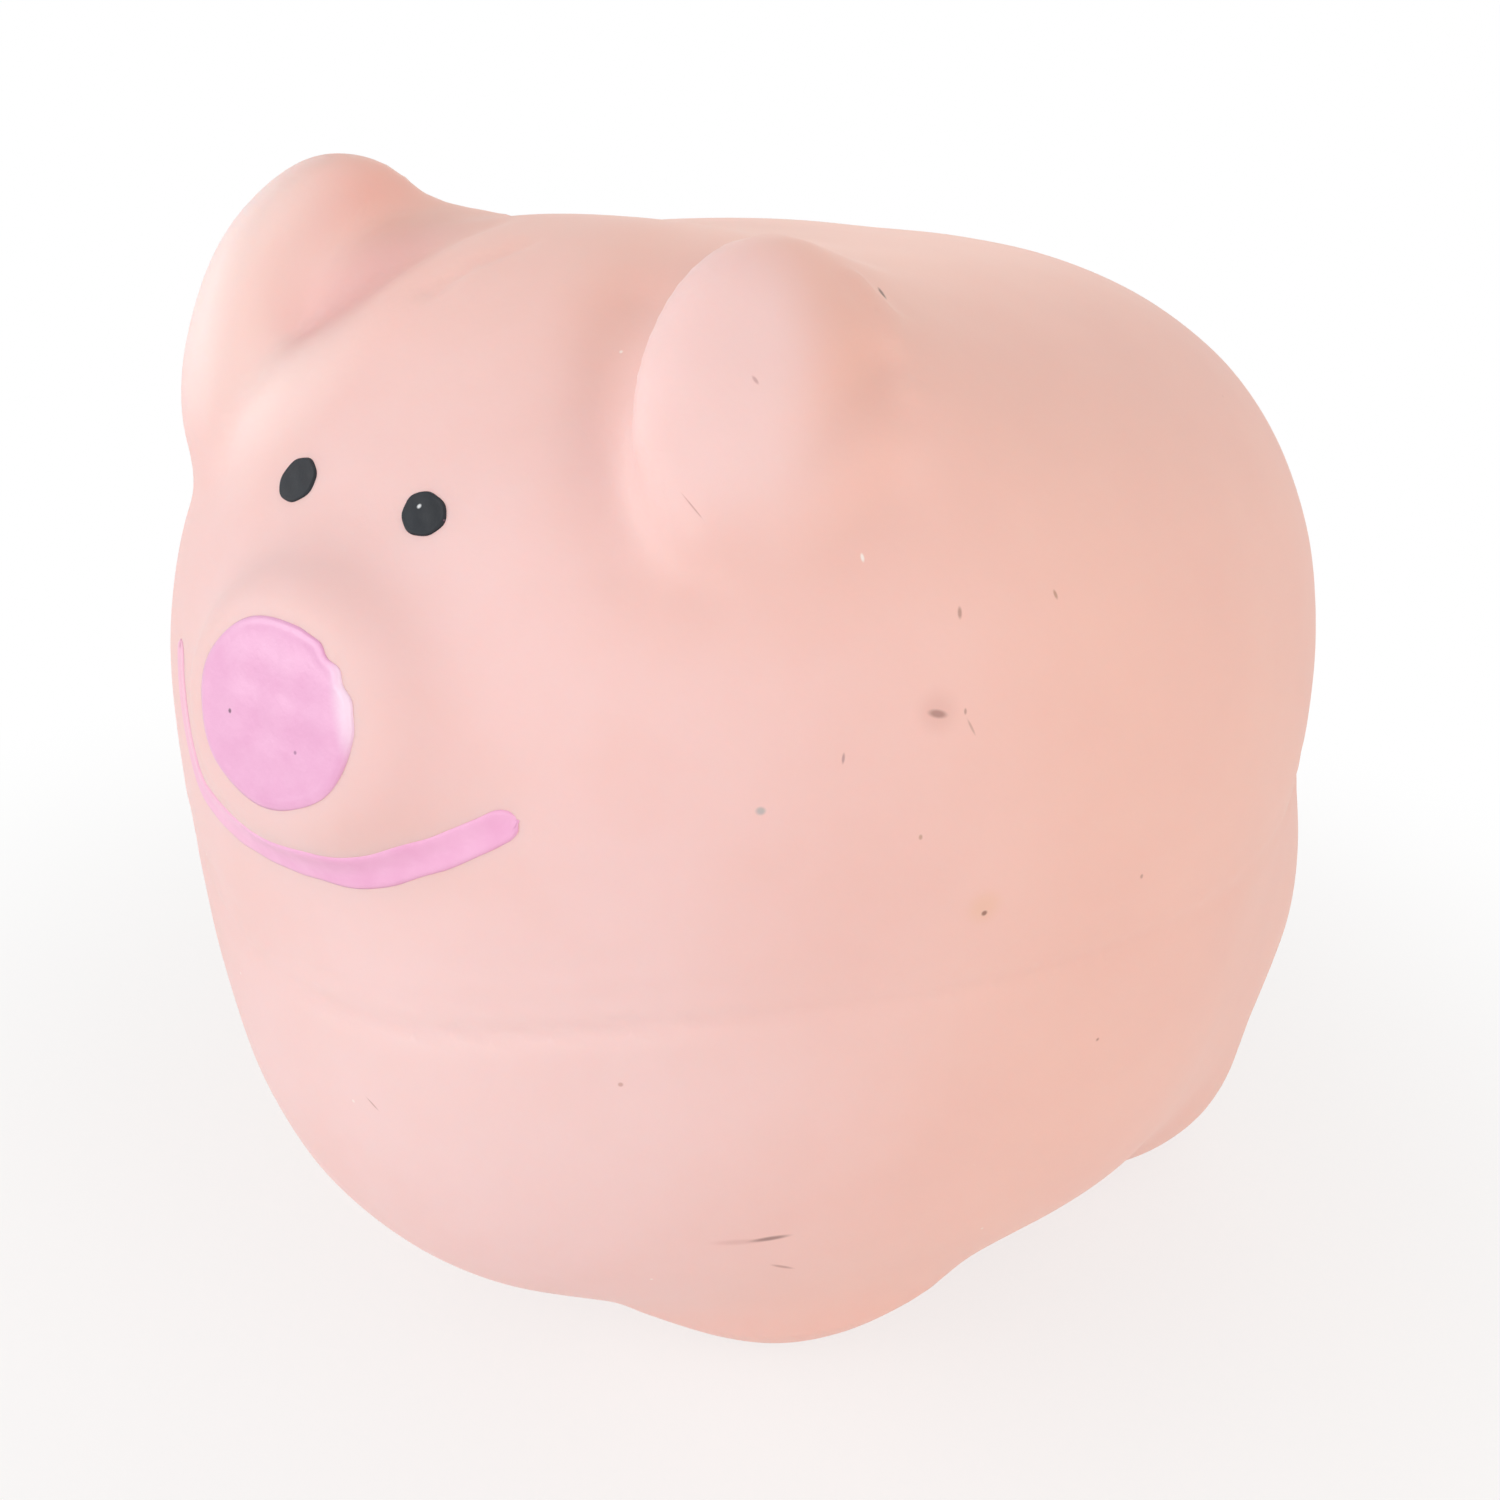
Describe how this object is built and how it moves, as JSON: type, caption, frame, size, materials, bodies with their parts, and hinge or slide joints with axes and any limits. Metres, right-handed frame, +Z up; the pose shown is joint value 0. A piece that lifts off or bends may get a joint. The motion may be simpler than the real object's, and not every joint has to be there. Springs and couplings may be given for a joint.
{
  "type": "latex pig dog toy",
  "caption": "Plump latex pig dog toy with lobed ears, a painted face and flat soles; a bellows squeaker hidden in its stuffed belly sounds when it is squeezed.",
  "frame": {"origin": "on the floor under the middle of the toy's bounding box", "axes": "+Z up, the pig looks along -Y, its left side is +X"},
  "size_m": [0.0676, 0.0795, 0.0675],
  "materials": {
    "latex": "soft matte natural latex, tinted pink",
    "plug_latex": "matte latex, glued in",
    "fibre": "loose polyester fibre",
    "bellows_plastic": "thin blow-moulded polyethylene",
    "whistle_plastic": "moulded polystyrene",
    "reed_film": "thin polyester film",
    "pink_paint": "glossy flexible paint",
    "black_paint": "satin flexible paint"
  },
  "bodies": {
    "toy": {"latex_skin": "latex", "fill_plug": "plug_latex", "lower_filling": "fibre", "upper_filling": "fibre", "bellows_base": "bellows_plastic", "bellows_folds": "bellows_plastic", "whistle_tube": "whistle_plastic", "reed_trough": "whistle_plastic", "reed_wedge": "whistle_plastic", "nose_paint": "pink_paint", "mouth_paint": "pink_paint", "left_eye_paint": "black_paint", "right_eye_paint": "black_paint"},
    "crown": {"bellows_crown": "bellows_plastic"},
    "reed_strip": {"reed": "reed_film"}
  },
  "joints": [
    {"name": "squeeze", "type": "slide", "parent": "toy", "child": "crown", "axis": [0, 0, -1], "range_m": [0, 0.008], "stiffness_N_per_m": 600, "deforming": ["bellows_folds"]},
    {"name": "reed_flap", "type": "hinge", "parent": "toy", "child": "reed_strip", "pos_m": [0, 0.005, 0.01635], "axis": [-1, 0, 0], "range_deg": [-2.5, 4], "stiffness_Nm_per_rad": 0.00005}
  ]
}
